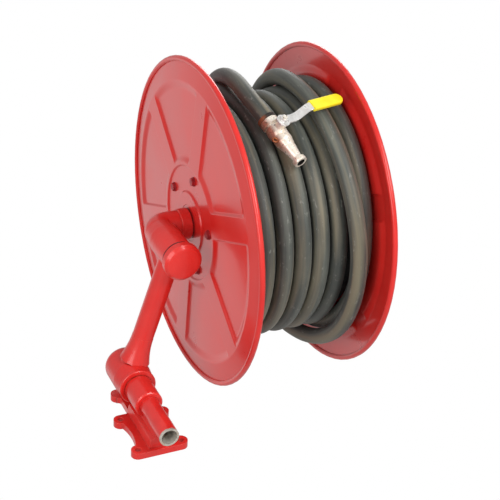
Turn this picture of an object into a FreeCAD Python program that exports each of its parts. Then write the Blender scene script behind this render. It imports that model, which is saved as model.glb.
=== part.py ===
import FreeCAD
import Part
import math
import os

# Fire hose reel on a swinging wall arm. Millimetres. +Z is up along the swing axis,
# the wall is the plane Y = 0 and the room is on the -Y side. The origin is the centre
# of the wall plate's back face.

V = FreeCAD.Vector
UP = V(0, 0, 1)
DOWN = V(0, 0, -1)
EAST = V(1, 0, 0)
ROOM = V(0, -1, 0)

# Drum: its axis is parallel to X, and its rims clear the wall by WALL_CLEARANCE
RIM_RADIUS = 290.0
RIM_SPACING = 238.0
WALL_CLEARANCE = 4.0
DRUM = V(262.0, -(RIM_RADIUS + WALL_CLEARANCE), 183.0)
LEFT_RIM_X = DRUM.x - RIM_SPACING / 2
RIGHT_RIM_X = DRUM.x + RIM_SPACING / 2

# Pressed discs: levels are outboard of the plane through the rim's bead
SHEET = 2.0
BEAD_R = 5.0
BAND_OUTER_R = 281.0
BAND_LEVEL = 1.0
CREST_R = 250.0
CREST_LEVEL = 5.6
RING_R = 105.0
RING_LEVEL = 8.6
RING_INNER_R = 102.0
FLOOR_R = 98.5
FLOOR_LEVEL = 4.0
BOSS_FOOT_R = 58.0
BOSS_R = 54.0
BOSS_LEVEL = 9.0
HUB_HOLE_R = 32.4

# The disc's ribs lie on the cone between ring and crest, the fields between them are sunk in it
RIB_COUNT = 6
RIB_ANGLE = 36.0
RIB_HALF_WIDTH = 20.5
FIELD_DEPTH = 3.8
FIELD_WALL = 4.6
FIELD_OUTER_R = 233.0
FIELD_OUTER_TOP_R = 249.0
FIELD_INNER_R = 112.0
FIELD_INNER_TOP_R = 106.0
FIELD_CORNER_R = 6.0

# Drum barrel and hub
BARREL_R = 100.0
BARREL_FLANGE_R = 72.0
BOLT_COUNT = 5
BOLT_ANGLE = 23.3
BOLT_CIRCLE_R = 83.4
BOLT_R = 4.0
BOLT_FLATS = 13.0
BOLT_HEAD = 5.3
NUT_HEIGHT = 6.5
FLANGE_R = 94.0
FLANGE_THICK = 6.0
SPIGOT_R = 50.0
HUB_R = 32.0
HUB_BORE_R = 15.1
CHAMBER_R = 21.0
CHAMBER_HALF = 13.0
BUSH_R = 19.0
BUSH_LENGTH = 24.0
SPINDLE_R = 15.0
SPINDLE_BORE_R = 10.0
SPINDLE_START_X = 100.0
SPINDLE_END_X = 415.0
CHAMBER_X = 235.0
OUTLET_R = 12.0
OUTLET_BORE_R = 8.0
FIRST_LAYER_R = 114.5

# Hose: 19 mm bore, three inner layers as a plain core and the outer layer as one tube
HOSE_R = 14.5
HOSE_BORE_R = 9.5
CORE_R = 184.2
LAYER_R = 199.5
LAYER_FIRST_X = 14.6
LAYER_PITCH = 33.2
LAYER_STEP_FROM = 228.0
LAYER_STEP_TURN = 85.0
HOSE_START = -38.0
QUARTER = 90
EIGHTH = 45
LAYER_LAST = 2070
CROWN_ANGLE = 75.0
CROWN_RADIUS = 250.0
CROWN_X = 66.0
TAIL_LENGTH = 36.0

# The last two loops lie unevenly on the layer: distance from the left rim plane and radius,
# one pair for each eighth of a turn after LAYER_LAST
LAST_LOOPS = ((213.8, 199.5), (213.8, 199.5), (214.5, 205.5), (221, 229.5), (221, 220), (219, 211),
              (219, 208.5), (221, 221), (219, 231), (212, 233.5), (197, 234.5), (181.5, 231.5), (188, 235.5),
              (200, 238), (203.5, 238.5), (190, 239), (155, 240), (118, 241), (82, 247))

# Wall bracket and swivel
SWIVEL = V(0, -58.0, 0)
PIPE_R = 16.85
PIPE_BORE_R = 13.6
PIPE_END_Z = -87.0
PIPE_SOCKET_Z = 20.0
PLATE_THICK = 12.0
LUG_X = 38.0
LUG_Z = 44.0
LUG_R = 12.0
LUG_HOLE_R = 5.5
WAIST_X = 33.0
NECK_X = 17.0
THROAT_R = 7.0
NECK_TOP = 98.0
PAD_X = 18.0
PAD_R = 12.0
FOOT_HALF = 17.0
FOOT_HEIGHT = 27.0
FOOT_FLARE = 3.0
WEB_SINK = 4.0
WEB_DROP = 4.0
WEB_HALF = 10.0
SLEEVE_R = 24.5
SLEEVE_BOTTOM = 7.0
SLEEVE_TOP = 60.0
PIN_R = 15.0
PIN_SHOULDER_R = 21.0
PIN_UPPER_R = 17.0
PIN_BORE_R = 11.0
PIN_TOP = 92.0
COLLAR_R = 32.5
COLLAR_BOTTOM = 61.8
COLLAR_TOP = 68.0
HEAD_BOTTOM_R = 31.5
HEAD_R = 34.0
HEAD_FULL_Z = 92.0
HEAD_SHOULDER_Z = 133.0
HEAD_TOP_Z = 149.0
HEAD_WALL = 11.0
SEAL_SECTION_R = 1.02
SEAL_HEIGHTS = (78.0, 83.5)

# Arm and elbow
ARM_Z = 104.6
ARM_R = 18.5
ARM_BORE_R = 15.5
SOCKET_ROOT = 8.0
SOCKET_LIP = 2.5
SOCKET_END = 50.0
ELBOW_X = 74.0
ELBOW_R = 28.5
ELBOW_BORE_R = 20.0
ELBOW_BOTTOM = 73.0
ELBOW_WIDE_Z = 140.0
ELBOW_BEND_R = 18.0
LEG_R = 25.5
LEG_END_X = 121.0
GLAND_R = 27.5
GLAND_END_X = 132.0
CAP_R = 33.0
CAP_FACE_R = 27.0
CAP_FACE_Z = 53.0

# The hub turns between a washer at the elbow and one under the spindle's nut
HUB_LEFT_X = LEFT_RIM_X - BOSS_LEVEL + 0.4
HUB_RIGHT_X = RIGHT_RIM_X + BOSS_LEVEL - 0.4
HUB_WASHER_R = 24.0
WASHER_THICK = 3.0
RUNNING_GAP = 0.06

# Shut-off nozzle in its own frame: z along the jet, y along the valve stem, x along the
# closed lever. The place is measured from the drum's centre.
NOZZLE_AT = DRUM + V(-30.0, -217.0, -84.0)
NOZZLE_AXIS = V(0.256, 0.437, -0.863).normalize()
STEM_HINT = V(0.170, -0.8985, -0.404)
STEM_Z = 26.4
LEVER_Y = 26.0
LEVER_RISE = 20.0
LEVER_LENGTH = 122.0
LEVER_THICK = 3.0
BALL_R = 11.0


def cylinder(base, axis, radius, length):
    return Part.makeCylinder(radius, length, base, axis)


def tube(base, axis, outer, inner, length):
    return cylinder(base, axis, outer, length).cut(cylinder(base, axis, inner, length))


def turned(points, origin, axis):
    """Solid of an outline of (station, radius) pairs turned about an axis through origin."""
    side = V(0, 1, 0) if abs(axis.y) < 0.9 else V(1, 0, 0)
    side = (side - axis * side.dot(axis)).normalize()
    corners = [origin + axis * station + side * radius for station, radius in points]
    return Part.Face(Part.makePolygon(corners + [corners[0]])).revolve(origin, axis, 360)


def hexagon(base, axis, flats, length, turn=0.0):
    radius = flats / math.sqrt(3)
    angles = [math.radians(turn + 60 * k) for k in range(7)]
    corners = [V(radius * math.cos(a), radius * math.sin(a), 0) for a in angles]
    body = Part.Face(Part.makePolygon(corners)).extrude(V(0, 0, length))
    body.Placement = FreeCAD.Placement(base, FreeCAD.Rotation(UP, axis))
    return body


def drum_point(angle, radius, x):
    """A point by its angle round the drum (0 is up, 90 is towards the room)."""
    a = math.radians(angle)
    return V(LEFT_RIM_X + x, DRUM.y - radius * math.sin(a), DRUM.z + radius * math.cos(a))


def save(name, shape):
    if not shape.isValid():
        print("not valid:", name)
    shape.exportStep("parts/" + name + ".step")


# Wall bracket


def plate_outline():
    """Half outline in X and Z: a lower bar with round lugs, a waist, upper lugs, a neck and a pad."""
    low = -LUG_Z
    bar_end = V(LUG_X, 0, low - LUG_R)
    lug_top = V(LUG_X, 0, low + LUG_R)
    upper_low = V(LUG_X, 0, LUG_Z - LUG_R)
    upper_top = V(LUG_X, 0, LUG_Z + LUG_R)
    throat = V(NECK_X + THROAT_R, 0, LUG_Z + LUG_R)
    inset = THROAT_R * (1 - math.sqrt(0.5))
    neck = V(NECK_X, 0, LUG_Z + LUG_R + THROAT_R)
    neck_top = V(NECK_X, 0, NECK_TOP)
    pad_low = NECK_TOP + THROAT_R
    pad_root = V(NECK_X + THROAT_R, 0, pad_low)
    pad_side = V(PAD_X + PAD_R, 0, pad_low + PAD_R)
    pad_top = pad_low + 2 * PAD_R
    edges = [Part.LineSegment(V(0, 0, low - LUG_R), bar_end).toShape(),
             Part.Arc(bar_end, V(LUG_X + LUG_R, 0, low), lug_top).toShape(),
             Part.Arc(lug_top, V(WAIST_X, 0, 0), upper_low).toShape(),
             Part.Arc(upper_low, V(LUG_X + LUG_R, 0, LUG_Z), upper_top).toShape(),
             Part.LineSegment(upper_top, throat).toShape(),
             Part.Arc(throat, V(NECK_X + inset, 0, LUG_Z + LUG_R + inset), neck).toShape(),
             Part.LineSegment(neck, neck_top).toShape(),
             Part.Arc(neck_top, V(NECK_X + inset, 0, pad_low - inset), pad_root).toShape(),
             Part.LineSegment(pad_root, V(PAD_X, 0, pad_low)).toShape(),
             Part.Arc(V(PAD_X, 0, pad_low), pad_side, V(PAD_X, 0, pad_top)).toShape(),
             Part.LineSegment(V(PAD_X, 0, pad_top), V(0, 0, pad_top)).toShape(),
             Part.LineSegment(V(0, 0, pad_top), V(0, 0, low - LUG_R)).toShape()]
    return Part.Wire(edges)


def wall_bracket():
    half = Part.Face(plate_outline()).extrude(ROOM * PLATE_THICK)
    plate = half.fuse(half.mirror(V(0, 0, 0), EAST))
    web_bottom = -LUG_Z - WEB_DROP
    foot = FOOT_HALF + FOOT_FLARE
    half_foot = [(foot, -WEB_SINK), (foot, -PLATE_THICK), (FOOT_HALF, -FOOT_HEIGHT),
                 (WEB_HALF, -FOOT_HEIGHT - FOOT_FLARE), (WEB_HALF, SWIVEL.y)]
    corners = [V(x, y, web_bottom) for x, y in half_foot] + [V(-x, y, web_bottom) for x, y in half_foot[::-1]]
    web = Part.Face(Part.makePolygon(corners + [corners[0]])).extrude(UP * (SLEEVE_TOP - web_bottom))
    sleeve = turned([(SLEEVE_BOTTOM, 0), (SLEEVE_BOTTOM, SLEEVE_R - 2), (SLEEVE_BOTTOM + 2, SLEEVE_R),
                     (SLEEVE_TOP, SLEEVE_R), (SLEEVE_TOP, 0)], SWIVEL, UP)
    body = plate.fuse([web, sleeve])
    body = body.cut(cylinder(SWIVEL + UP * PIPE_END_Z, UP, PIPE_R + 0.02, PIPE_SOCKET_Z - PIPE_END_Z))
    body = body.cut(cylinder(SWIVEL, UP, PIN_R + 0.02, 120))
    for x in (-LUG_X, LUG_X):
        for z in (-LUG_Z, LUG_Z):
            body = body.cut(cylinder(V(x, 5, z), ROOM, LUG_HOLE_R, PLATE_THICK + 10))
    return body.removeSplitter()


def inlet_pipe():
    return tube(SWIVEL + UP * PIPE_END_Z, UP, PIPE_R, PIPE_BORE_R, PIPE_SOCKET_Z - PIPE_END_Z)


def swivel_pin():
    bottom = PIPE_SOCKET_Z + 0.1
    groove = PIN_UPPER_R - 2 * SEAL_SECTION_R - 0.06
    shoulder = COLLAR_TOP + 0.3
    shoulder_top = COLLAR_TOP + 6
    outline = [(bottom, PIN_BORE_R), (bottom, PIN_R), (shoulder, PIN_R), (shoulder, PIN_SHOULDER_R),
               (shoulder_top, PIN_SHOULDER_R), (shoulder_top, PIN_UPPER_R)]
    for z in SEAL_HEIGHTS:
        outline += [(z - 1.5, PIN_UPPER_R), (z - 1.5, groove), (z + 1.5, groove), (z + 1.5, PIN_UPPER_R)]
    outline += [(PIN_TOP, PIN_UPPER_R), (PIN_TOP, PIN_BORE_R)]
    return turned(outline, SWIVEL, UP)


def swivel_seals():
    major = PIN_UPPER_R - SEAL_SECTION_R - 0.02
    return Part.makeCompound([Part.makeTorus(major, SEAL_SECTION_R, SWIVEL + UP * z, UP)
                              for z in SEAL_HEIGHTS])


def thrust_washer():
    return tube(SWIVEL + UP * (SLEEVE_TOP + 0.02), UP, SLEEVE_R - 0.5, PIN_R + 0.3, 1.7)


# Swing arm


def swivel_collar():
    outline = [(COLLAR_BOTTOM, PIN_R + 0.06), (COLLAR_BOTTOM, COLLAR_R - 1), (COLLAR_BOTTOM + 1, COLLAR_R),
               (COLLAR_TOP - 1, COLLAR_R), (COLLAR_TOP, COLLAR_R - 1), (COLLAR_TOP, PIN_R + 0.06)]
    return turned(outline, SWIVEL, UP)


def arm_direction():
    return V(ELBOW_X - SWIVEL.x, DRUM.y - SWIVEL.y, 0).normalize()


def swing_head():
    shoulder = HEAD_TOP_Z - HEAD_SHOULDER_Z
    side = [V(0, HEAD_BOTTOM_R, COLLAR_TOP + 0.02), V(0, HEAD_R, HEAD_FULL_Z), V(0, HEAD_R, HEAD_SHOULDER_Z)]
    flat = HEAD_R - shoulder
    blend = V(0, flat + shoulder * math.sin(math.pi / 4), HEAD_SHOULDER_Z + shoulder * math.sin(math.pi / 4))
    top = V(0, flat, HEAD_TOP_Z)
    edges = [Part.LineSegment(V(0, 0, COLLAR_TOP + 0.02), side[0]).toShape(),
             Part.LineSegment(side[0], side[1]).toShape(), Part.LineSegment(side[1], side[2]).toShape(),
             Part.Arc(side[2], blend, top).toShape(), Part.LineSegment(top, V(0, 0, HEAD_TOP_Z)).toShape(),
             Part.LineSegment(V(0, 0, HEAD_TOP_Z), V(0, 0, COLLAR_TOP + 0.02)).toShape()]
    head = Part.Face(Part.Wire(edges)).revolve(V(0, 0, 0), UP, 360)
    head.translate(SWIVEL)
    at_arm = SWIVEL + UP * ARM_Z
    socket = Part.makeCone(ARM_R + SOCKET_ROOT, ARM_R + SOCKET_LIP, SOCKET_END, at_arm, arm_direction())
    head = head.fuse(socket)
    shoulder_r = PIN_SHOULDER_R + 0.4
    shoulder_top = COLLAR_TOP + 6.4
    pin_r = PIN_UPPER_R + 0.05
    chamber_r = HEAD_R - HEAD_WALL
    bore = [(COLLAR_TOP - 1, 0), (COLLAR_TOP - 1, shoulder_r), (shoulder_top, shoulder_r),
            (shoulder_top, pin_r), (PIN_TOP, pin_r), (PIN_TOP, chamber_r),
            (HEAD_SHOULDER_Z - 6, chamber_r), (HEAD_TOP_Z - 10, 12), (HEAD_TOP_Z - 9, 0)]
    head = head.cut(turned(bore, SWIVEL, UP))
    return head.cut(cylinder(at_arm, arm_direction(), ARM_R + 0.02, 60))


def arm_tube():
    start = SWIVEL + UP * ARM_Z + arm_direction() * 26
    reach = math.hypot(ELBOW_X - SWIVEL.x, DRUM.y - SWIVEL.y)
    body = tube(start, arm_direction(), ARM_R, ARM_BORE_R, reach - 26)
    return body.cut(cylinder(V(ELBOW_X, DRUM.y, 0), UP, ELBOW_R - 4, 300))


def elbow_bend(radius):
    """Quarter bend from the barrel to the leg. A section wider than the bend stops at its axis."""
    centre = V(ELBOW_X + ELBOW_BEND_R, DRUM.y, DRUM.z - ELBOW_BEND_R)
    start = V(ELBOW_X, DRUM.y, centre.z)
    section = Part.Face(Part.Wire(Part.makeCircle(radius, start, UP)))
    if radius > ELBOW_BEND_R:
        beyond = Part.makePlane(2 * radius, 4 * radius, V(centre.x, DRUM.y - 2 * radius, centre.z), UP)
        section = section.cut(beyond)
    return section.revolve(centre, V(0, 1, 0), 90)


def elbow_body():
    foot = V(ELBOW_X, DRUM.y, 0)
    bend_z = DRUM.z - ELBOW_BEND_R
    leg_start = V(ELBOW_X + ELBOW_BEND_R, DRUM.y, DRUM.z)
    at_arm = foot + UP * ARM_Z
    barrel = [(ELBOW_BOTTOM, 0), (ELBOW_BOTTOM, ELBOW_R), (ELBOW_WIDE_Z, ELBOW_R), (bend_z, LEG_R), (bend_z, 0)]
    leg = cylinder(leg_start, EAST, LEG_R, LEG_END_X - leg_start.x)
    body = turned(barrel, foot, UP).fuse([elbow_bend(LEG_R), leg])
    bore = SPINDLE_R + 0.02
    inner = [(ELBOW_BOTTOM - 1, 0), (ELBOW_BOTTOM - 1, ELBOW_BORE_R), (ELBOW_WIDE_Z, ELBOW_BORE_R),
             (ELBOW_WIDE_Z + 8, bore), (bend_z, bore), (bend_z, 0)]
    body = body.cut(turned(inner, foot, UP)).cut(elbow_bend(bore)).cut(cylinder(leg_start, EAST, bore, 60))
    socket = cylinder(at_arm, arm_direction() * -1, ARM_R + 0.02, 60)
    socket = socket.cut(cylinder(foot, UP, ELBOW_R - 4, 300))
    return body.cut(socket).cut(cylinder(at_arm, arm_direction() * -1, ARM_BORE_R, 60))


def elbow_cap():
    neck = ELBOW_R - 1.5
    plug = ELBOW_BORE_R - 0.05
    outline = [(ELBOW_BOTTOM + 12, 0), (ELBOW_BOTTOM + 12, plug), (ELBOW_BOTTOM - 1.6, plug),
               (ELBOW_BOTTOM - 1.6, neck), (ELBOW_BOTTOM - 3, neck), (ELBOW_BOTTOM - 3, CAP_R - 1),
               (ELBOW_BOTTOM - 4, CAP_R), (CAP_FACE_Z + 5, CAP_R), (CAP_FACE_Z, CAP_FACE_R + 1),
               (CAP_FACE_Z - 1, CAP_FACE_R - 3), (CAP_FACE_Z - 1.8, 12), (CAP_FACE_Z - 2, 0)]
    return turned(outline, V(ELBOW_X, DRUM.y, 0), UP)


def cap_seal():
    return tube(V(ELBOW_X, DRUM.y, ELBOW_BOTTOM - 1.5), UP, ELBOW_R - 1.5, ELBOW_BORE_R + 0.1, 1.4)


def gland_ring():
    axis_point = V(0, DRUM.y, DRUM.z)
    outline = [(LEG_END_X - 8, LEG_R + 0.05), (LEG_END_X - 8, GLAND_R - 1), (LEG_END_X - 7, GLAND_R),
               (GLAND_END_X - 1, GLAND_R), (GLAND_END_X, GLAND_R - 1), (GLAND_END_X, SPINDLE_R + 0.2),
               (LEG_END_X + 0.05, SPINDLE_R + 0.2), (LEG_END_X + 0.05, LEG_R + 0.05)]
    return turned(outline, axis_point, EAST)


def hub_spindle():
    start = V(0, DRUM.y, DRUM.z)
    groove = SPINDLE_R - 2 * SEAL_SECTION_R - 0.06
    outline = [(SPINDLE_START_X, SPINDLE_BORE_R), (SPINDLE_START_X, SPINDLE_R)]
    for x in spindle_seal_places():
        outline += [(x - 1.5, SPINDLE_R), (x - 1.5, groove), (x + 1.5, groove), (x + 1.5, SPINDLE_R)]
    outline += [(SPINDLE_END_X - 1.5, SPINDLE_R), (SPINDLE_END_X, SPINDLE_R - 1.5), (SPINDLE_END_X, 0),
                (CHAMBER_X + 12, 0), (CHAMBER_X + 12, SPINDLE_BORE_R)]
    body = turned(outline, start, EAST)
    return body.cut(cylinder(V(CHAMBER_X, DRUM.y, DRUM.z - 40), UP, 7.0, 80))


def spindle_seal_places():
    return (CHAMBER_X - CHAMBER_HALF - 9, CHAMBER_X + CHAMBER_HALF + 9)


def spindle_seals():
    major = SPINDLE_R - SEAL_SECTION_R - 0.02
    return Part.makeCompound([Part.makeTorus(major, SEAL_SECTION_R, V(x, DRUM.y, DRUM.z), EAST)
                              for x in spindle_seal_places()])


def hub_washer():
    start = V(GLAND_END_X + RUNNING_GAP, DRUM.y, DRUM.z)
    return tube(start, EAST, HUB_WASHER_R, SPINDLE_R + 0.3, HUB_LEFT_X - GLAND_END_X - 3 * RUNNING_GAP)


def end_washer():
    return tube(V(HUB_RIGHT_X + 2 * RUNNING_GAP, DRUM.y, DRUM.z), EAST, 30.0, SPINDLE_R + 0.3, WASHER_THICK)


def end_nut():
    base = V(HUB_RIGHT_X + 3 * RUNNING_GAP + WASHER_THICK, DRUM.y, DRUM.z)
    return hexagon(base, EAST, 46.0, 12.0).cut(cylinder(base, EAST, SPINDLE_R + 0.02, 20))


# Drum


def field_wire(height):
    """Outline of one sunk field at a height over its floor, with round corners, in the disc's X and Y."""
    share = height / FIELD_DEPTH
    outer = FIELD_OUTER_R + share * (FIELD_OUTER_TOP_R - FIELD_OUTER_R)
    inner = FIELD_INNER_R + share * (FIELD_INNER_TOP_R - FIELD_INNER_R)
    half = RIB_HALF_WIDTH + (1 - share) * FIELD_WALL
    round_y = half + FIELD_CORNER_R
    level = RING_LEVEL - FIELD_DEPTH + height
    pitch = 2 * math.pi / RIB_COUNT

    def corner(radius, reach):
        """Tangent points and mid point of the round between a rib's side and a circle about the hub."""
        centre = V(math.sqrt(reach ** 2 - round_y ** 2), round_y, level)
        on_side = V(centre.x, half, level)
        on_circle = V(centre.x * radius / reach, centre.y * radius / reach, level)
        bisector = (on_side - centre).normalize() + (on_circle - centre).normalize()
        return on_side, centre + bisector.normalize() * FIELD_CORNER_R, on_circle

    def across(point):
        """The same point on the field's other side."""
        angle = pitch - math.atan2(point.y, point.x)
        radius = math.hypot(point.x, point.y)
        return V(radius * math.cos(angle), radius * math.sin(angle), level)

    def middle(radius):
        return V(radius * math.cos(pitch / 2), radius * math.sin(pitch / 2), level)

    far = corner(outer, outer - FIELD_CORNER_R)
    near = corner(inner, inner + FIELD_CORNER_R)
    far_across = [across(point) for point in far]
    near_across = [across(point) for point in near]
    return Part.Wire([Part.LineSegment(near[0], far[0]).toShape(),
                      Part.Arc(*far).toShape(),
                      Part.Arc(far[2], middle(outer), far_across[2]).toShape(),
                      Part.Arc(*far_across[::-1]).toShape(),
                      Part.LineSegment(far_across[0], near_across[0]).toShape(),
                      Part.Arc(*near_across).toShape(),
                      Part.Arc(near_across[2], middle(inner), near[2]).toShape(),
                      Part.Arc(*near[::-1]).toShape()])


def field_cutter():
    """Block of one sunk field, its floor tilted like the cone between ring and crest."""
    middle = math.pi / RIB_COUNT
    hinge = V(RING_R * math.cos(middle), RING_R * math.sin(middle), RING_LEVEL)
    tilt = math.degrees(math.atan2(RING_LEVEL - CREST_LEVEL, CREST_R - RING_R))
    block = Part.makeLoft([field_wire(0), field_wire(FIELD_DEPTH + 1)], True, True)
    block.rotate(hinge, V(-math.sin(middle), math.cos(middle), 0), tilt)
    return block


def disc(side):
    """Pressed disc, side -1 for the left one and +1 for the right one."""
    below = -30.0
    profile = [(below, HUB_HOLE_R), (BOSS_LEVEL, HUB_HOLE_R), (BOSS_LEVEL, BOSS_R), (FLOOR_LEVEL, BOSS_FOOT_R),
               (FLOOR_LEVEL, FLOOR_R), (RING_LEVEL, RING_INNER_R), (RING_LEVEL, RING_R), (CREST_LEVEL, CREST_R),
               (BAND_LEVEL, BAND_OUTER_R), (below, BAND_OUTER_R)]
    block = turned(profile, V(0, 0, 0), UP)
    field = field_cutter()
    fields = []
    for k in range(RIB_COUNT):
        piece = field.copy()
        piece.rotate(V(0, 0, 0), UP, side * RIB_ANGLE + 360 / RIB_COUNT * k)
        fields.append(piece)
    block = block.cut(fields)
    inside = block.copy()
    inside.translate(V(0, 0, -SHEET))
    sheet = block.cut(inside)
    holes = [cylinder(place, UP, BOLT_R + 0.3, 30) for place in bolt_places(side)]
    sheet = sheet.cut(holes).fuse(Part.makeTorus(RIM_RADIUS - BEAD_R, BEAD_R, V(0, 0, 0), UP))
    return to_drum(sheet, side)


def to_drum(shape, side):
    """Moves a shape from a disc's frame (z outboard, x up) to its place on the drum."""
    rim_x = DRUM.x + side * RIM_SPACING / 2
    matrix = FreeCAD.Matrix(0, 0, side, rim_x, 0, -side, 0, DRUM.y, 1, 0, 0, DRUM.z, 0, 0, 0, 1)
    placed = shape.copy()
    placed.Placement = FreeCAD.Placement(matrix)
    return placed


def bolt_places(side):
    angles = [math.radians(side * BOLT_ANGLE + 360 / BOLT_COUNT * k) for k in range(BOLT_COUNT)]
    return [V(BOLT_CIRCLE_R * math.cos(a), BOLT_CIRCLE_R * math.sin(a), 0) for a in angles]


def bolts(side):
    shank = FLOOR_LEVEL - SHEET - SHEET - FLANGE_THICK - NUT_HEIGHT - 3
    group = []
    for place in bolt_places(side):
        head = hexagon(place + UP * (FLOOR_LEVEL + 0.02), UP, BOLT_FLATS, BOLT_HEAD, 15)
        group.append(head.fuse(cylinder(place + UP * shank, UP, BOLT_R, FLOOR_LEVEL + 1 - shank)))
    return to_drum(Part.makeCompound(group), side)


def nuts(side):
    seat = FLOOR_LEVEL - SHEET - SHEET - FLANGE_THICK - 0.1
    group = []
    for place in bolt_places(side):
        nut = hexagon(place + UP * (seat - NUT_HEIGHT), UP, BOLT_FLATS, NUT_HEIGHT, 15)
        group.append(nut.cut(cylinder(place + UP * (seat - 10), UP, BOLT_R + 0.05, 20)))
    return to_drum(Part.makeCompound(group), side)


def hub_flange(side):
    top = FLOOR_LEVEL - SHEET - SHEET - 0.05
    spigot = BOSS_LEVEL - SHEET - 0.3
    outline = [(top - FLANGE_THICK, HUB_R + 0.05), (spigot, HUB_R + 0.05), (spigot, SPIGOT_R),
               (top, SPIGOT_R), (top, FLANGE_R), (top - FLANGE_THICK, FLANGE_R)]
    body = turned(outline, V(0, 0, 0), UP)
    for place in bolt_places(side):
        body = body.cut(cylinder(place + DOWN * 20, UP, BOLT_R + 0.2, 40))
    return to_drum(body, side)


def drum_barrel():
    end = FLOOR_LEVEL - SHEET - 0.02
    left = LEFT_RIM_X - end
    right = RIGHT_RIM_X + end
    inner = BARREL_R - SHEET
    lip = BARREL_FLANGE_R
    outline = [(left, lip), (left, BARREL_R), (right, BARREL_R), (right, lip), (right - SHEET, lip),
               (right - SHEET, inner), (left + SHEET, inner), (left + SHEET, lip)]
    body = turned(outline, V(0, DRUM.y, DRUM.z), EAST)
    for side in (-1, 1):
        for place in bolt_places(side):
            body = body.cut(to_drum(cylinder(place + DOWN * 5, UP, BOLT_R + 0.2, 30), side))
    return body.cut(cylinder(V(CHAMBER_X, DRUM.y, DRUM.z), UP, OUTLET_R + 0.5, 150))


def hub_body():
    left = HUB_LEFT_X
    right = HUB_RIGHT_X
    seat = BUSH_R + 0.02
    body = cylinder(V(left, DRUM.y, DRUM.z), EAST, HUB_R, right - left)
    bore = [(left - 1, 0), (left - 1, seat), (left + BUSH_LENGTH, seat), (left + BUSH_LENGTH, HUB_BORE_R),
            (CHAMBER_X - CHAMBER_HALF, HUB_BORE_R), (CHAMBER_X - CHAMBER_HALF, CHAMBER_R),
            (CHAMBER_X + CHAMBER_HALF, CHAMBER_R), (CHAMBER_X + CHAMBER_HALF, HUB_BORE_R),
            (right - BUSH_LENGTH, HUB_BORE_R), (right - BUSH_LENGTH, seat), (right + 1, seat), (right + 1, 0)]
    body = body.cut(turned(bore, V(0, DRUM.y, DRUM.z), EAST))
    return body.cut(cylinder(V(CHAMBER_X, DRUM.y, DRUM.z + CHAMBER_R - 3), UP, OUTLET_R, 40))


def bush(side):
    inner_end = V(0, 0, BOSS_LEVEL - 0.3 - BUSH_LENGTH)
    return to_drum(tube(inner_end, UP, BUSH_R, SPINDLE_R + 0.04, BUSH_LENGTH - 0.2), side)


def outlet_pipe():
    """Rises from the hub, turns along the drum and ends in the tail that the hose is pushed on."""
    foot = V(CHAMBER_X, DRUM.y, DRUM.z + CHAMBER_R + 1)
    bend = V(CHAMBER_X, DRUM.y, DRUM.z + FIRST_LAYER_R)
    body = cylinder(foot, UP, OUTLET_R - 0.02, FIRST_LAYER_R - CHAMBER_R - 1)
    body = body.fuse([Part.makeSphere(OUTLET_R - 0.02, bend), cylinder(bend, ROOM, HOSE_BORE_R - 0.1, 52)])
    body = body.cut(cylinder(foot + DOWN, UP, OUTLET_BORE_R, FIRST_LAYER_R - CHAMBER_R))
    return body.cut(cylinder(bend, ROOM, 6.5, 60))


def inner_clamp():
    at = V(CHAMBER_X, DRUM.y - 28, DRUM.z + FIRST_LAYER_R)
    return tube(at, ROOM, HOSE_R + 1.4, HOSE_R + 0.1, 12)


def hose_core():
    """The inner layers, plain, with a recess round the inner tail and a stub up to the outer layer."""
    left = LEFT_RIM_X + 0.6
    right = RIGHT_RIM_X - 0.6
    body = tube(V(left, DRUM.y, DRUM.z), EAST, CORE_R, BARREL_R + 0.1, right - left)
    bend = V(CHAMBER_X, DRUM.y, DRUM.z + FIRST_LAYER_R)
    body = body.cut(cylinder(bend - ROOM * 16, ROOM, HOSE_R + 3, 70))
    body = body.cut(cylinder(bend + DOWN * 30, UP, OUTLET_R + 1, 45))
    inner_end = tube(bend + ROOM * 16, ROOM, HOSE_R, HOSE_BORE_R, 40)
    body = body.fuse(inner_end)
    path = hose_stations()
    point, tangent = path[0]
    face = point - tangent * (2 * HOSE_R)
    straight = HOSE_R + 0.5
    stub = cylinder(face, tangent * -1, HOSE_R, straight)
    centre = V(point.x, DRUM.y, DRUM.z)
    inward = (centre - face).normalize()
    slope = (tangent * -1 + inward * 1.8).normalize()
    knee = face - tangent * straight
    stub = stub.fuse([Part.makeSphere(HOSE_R, knee), cylinder(knee, slope, HOSE_R, 45)])
    return body.fuse(stub)


# Hose winding


def hose_place(angle):
    """Distance from the left rim plane and radius. Each turn lies flat, then steps over at the back."""
    if angle <= LAYER_LAST:
        turn = math.floor((angle - LAYER_STEP_FROM) / 360)
        share = min(1.0, (angle - LAYER_STEP_FROM - 360 * turn) / LAYER_STEP_TURN)
        step = share * share * (3 - 2 * share)
        return LAYER_FIRST_X + LAYER_PITCH * max(0, turn + step), LAYER_R
    spot = (angle - LAYER_LAST) / EIGHTH
    first = min(int(spot), len(LAST_LOOPS) - 1)
    share = spot - first
    before = LAST_LOOPS[first - 1] if first else hose_place(LAYER_LAST)
    after = LAST_LOOPS[first]
    return before[0] + share * (after[0] - before[0]), before[1] + share * (after[1] - before[1])


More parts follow.
